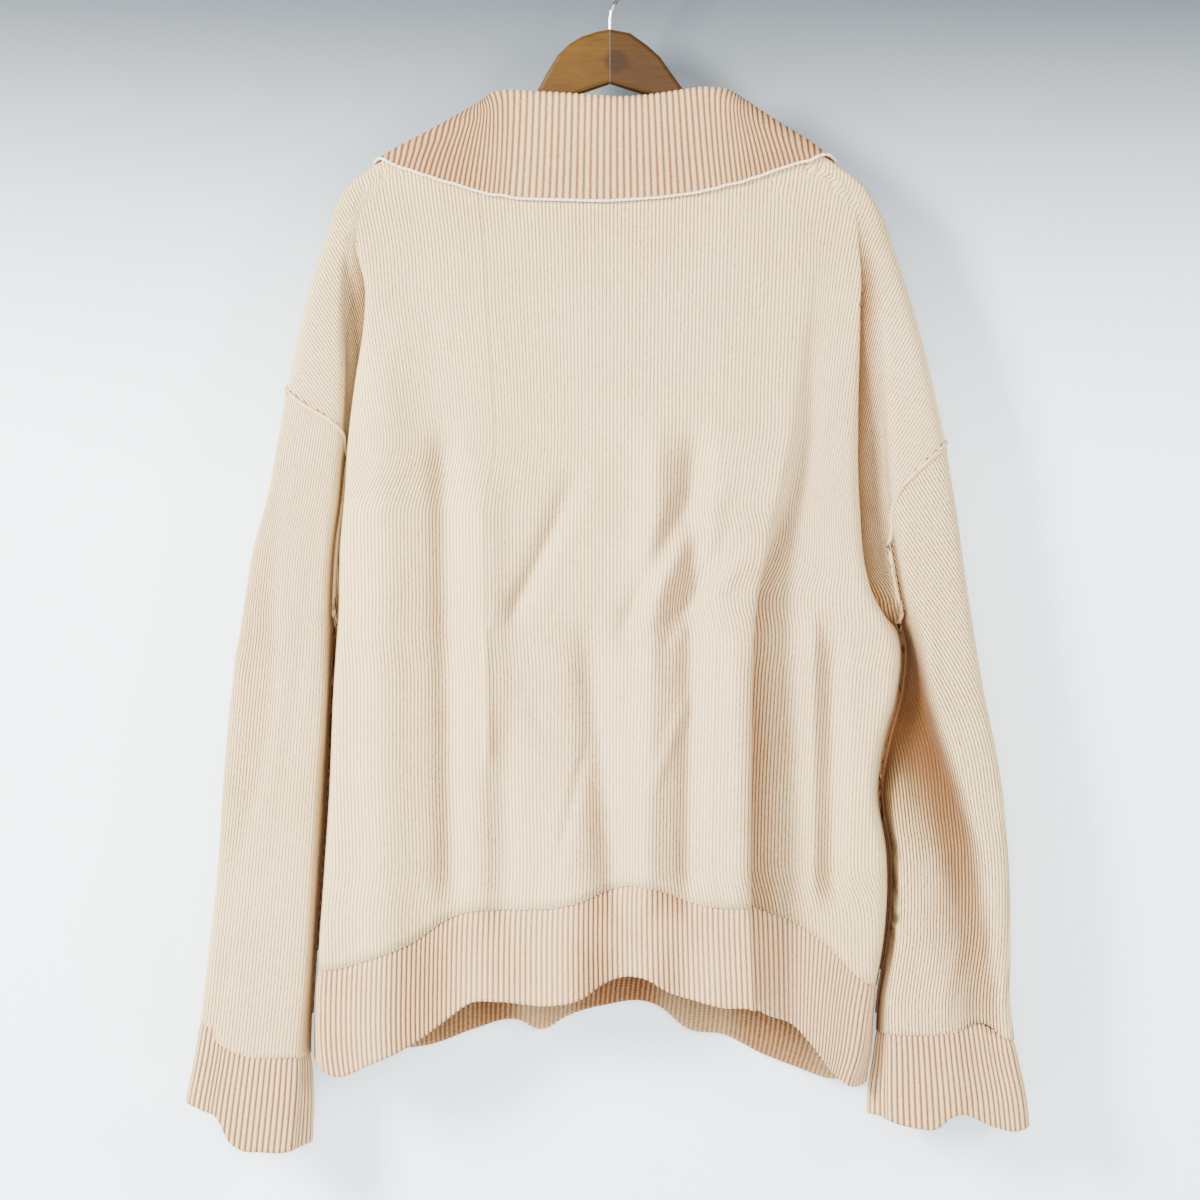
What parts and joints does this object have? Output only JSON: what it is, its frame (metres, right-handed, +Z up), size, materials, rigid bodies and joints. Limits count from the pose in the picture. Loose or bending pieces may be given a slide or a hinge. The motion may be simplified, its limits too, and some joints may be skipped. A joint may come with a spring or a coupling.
{
  "type": "polo sweater on a hanger",
  "caption": "Long-sleeved knitted polo sweater with a folded rib collar, rib cuffs and hem, hung on a wooden hanger with a wire hook.",
  "frame": {"origin": "inside top of the hanger's hook, where a rail carries it", "axes": "+Z up, +Y from the garment's back to its front, +X to the right seen from behind"},
  "size_m": [0.6714, 0.0886, 0.9593],
  "materials": {
    "body_knit": "plain knit, matt, cream",
    "rib_knit": "1x1 rib knit, matt, cream",
    "wood": "stained, varnished",
    "steel": "bright wire"
  },
  "bodies": {
    "root": {"back_panel": "body_knit", "front_panel": "body_knit", "sleeve_left": "body_knit", "sleeve_right": "body_knit", "cuff_left": "rib_knit", "cuff_right": "rib_knit", "hem_rib_back": "rib_knit", "hem_rib_front": "rib_knit", "collar": "rib_knit", "hanger_arm_left": "wood", "hanger_arm_right": "wood", "hanger_hook": "steel"}
  },
  "joints": []
}
